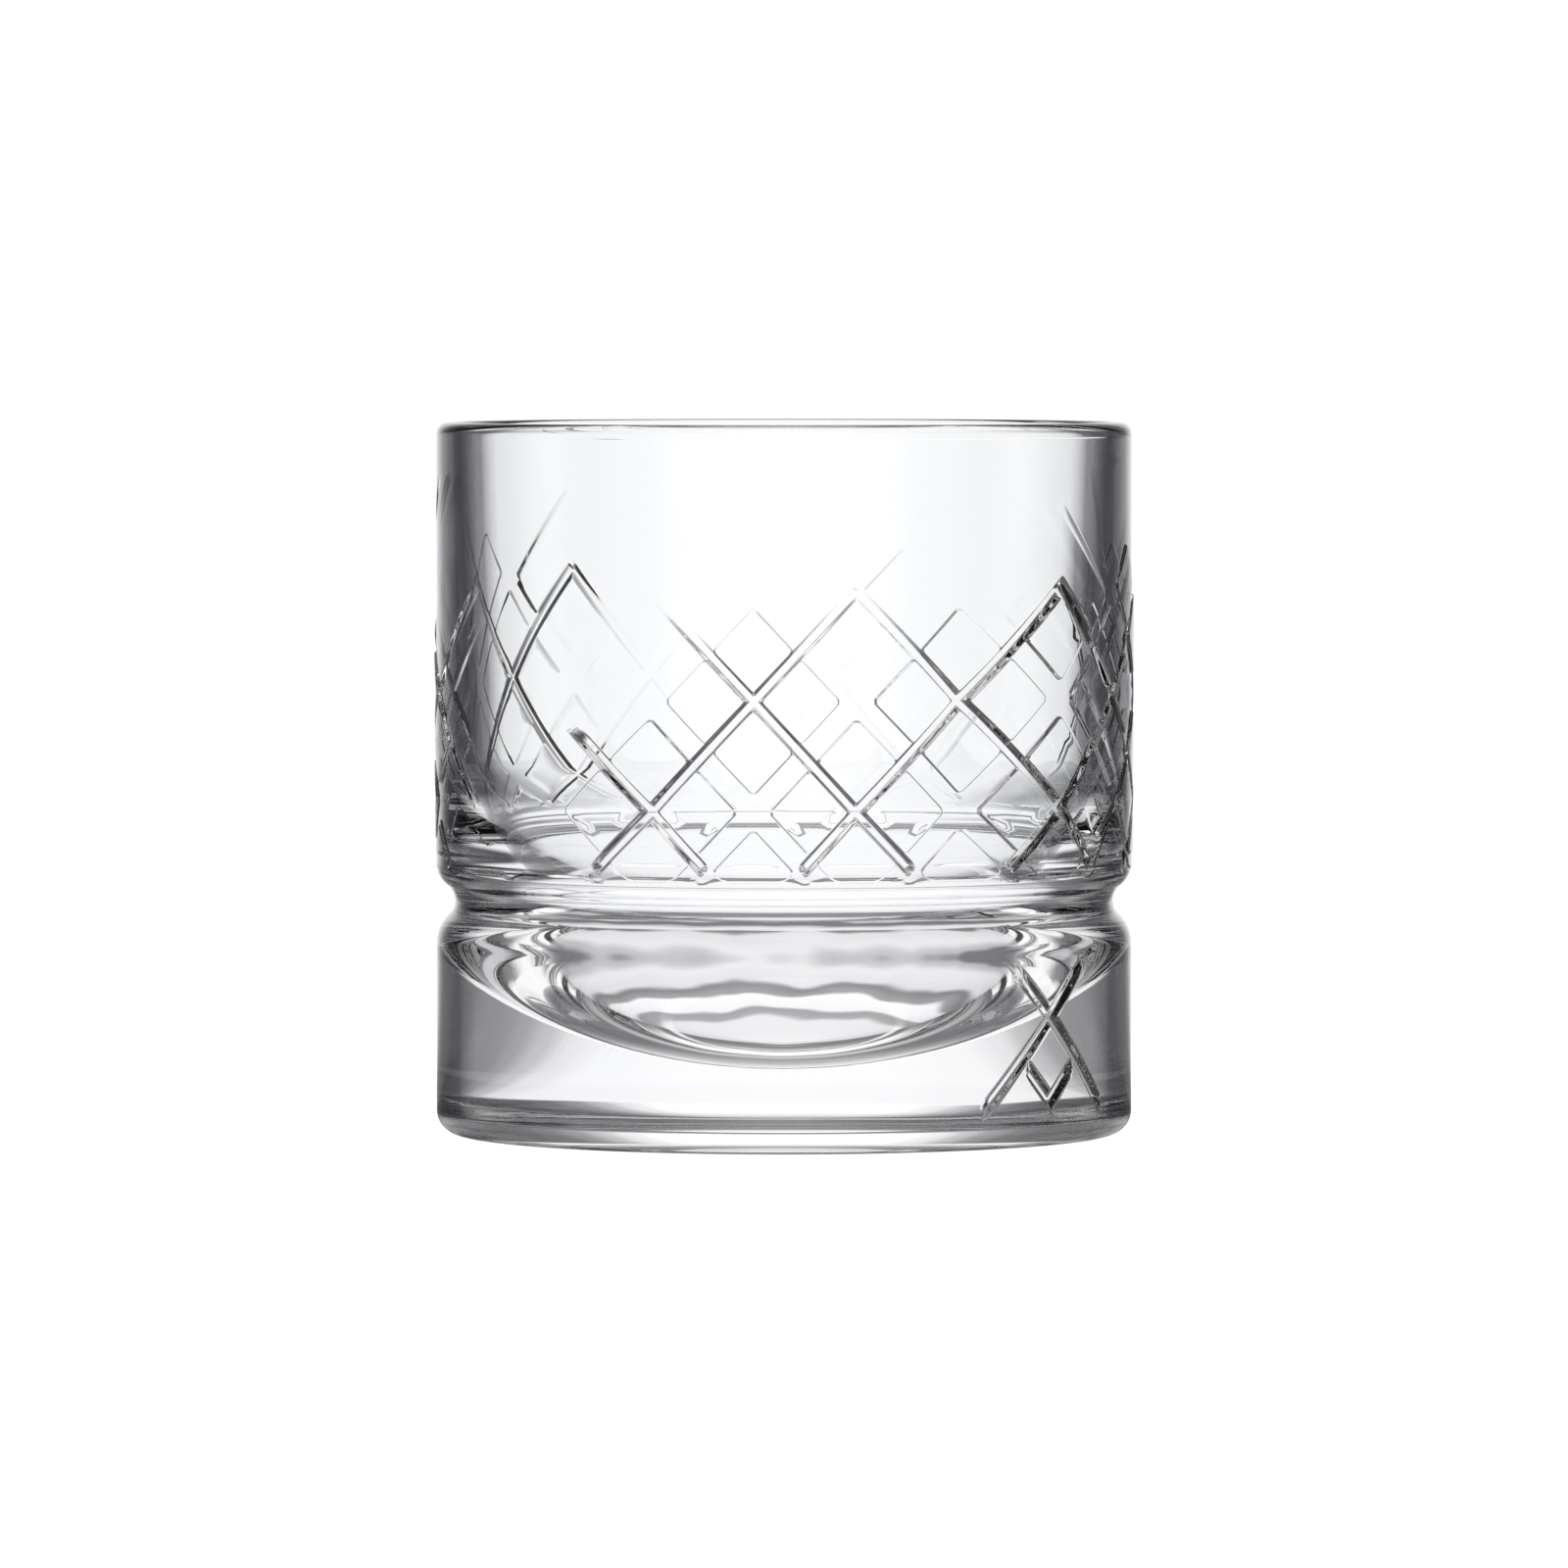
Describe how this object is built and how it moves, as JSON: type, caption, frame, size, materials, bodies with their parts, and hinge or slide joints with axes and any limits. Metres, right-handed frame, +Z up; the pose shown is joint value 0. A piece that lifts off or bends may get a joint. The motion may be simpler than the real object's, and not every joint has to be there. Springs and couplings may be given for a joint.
{
  "type": "whiskey tumbler",
  "caption": "Straight-sided clear pressed-glass whiskey tumbler with a raised diamond band, a waist groove and a thick solid base.",
  "frame": {"origin": "on the glass's axis, in the plane it stands on", "axes": "+Z up the axis to the rim; the front, where the diamond band is most open, faces -Y, and the small star on the base is to the right of it, towards +X"},
  "size_m": [0.0847, 0.0846, 0.086],
  "materials": {
    "glass": "clear fire-polished pressed glass"
  },
  "bodies": {
    "root": {"glass_body": "glass"}
  },
  "joints": []
}
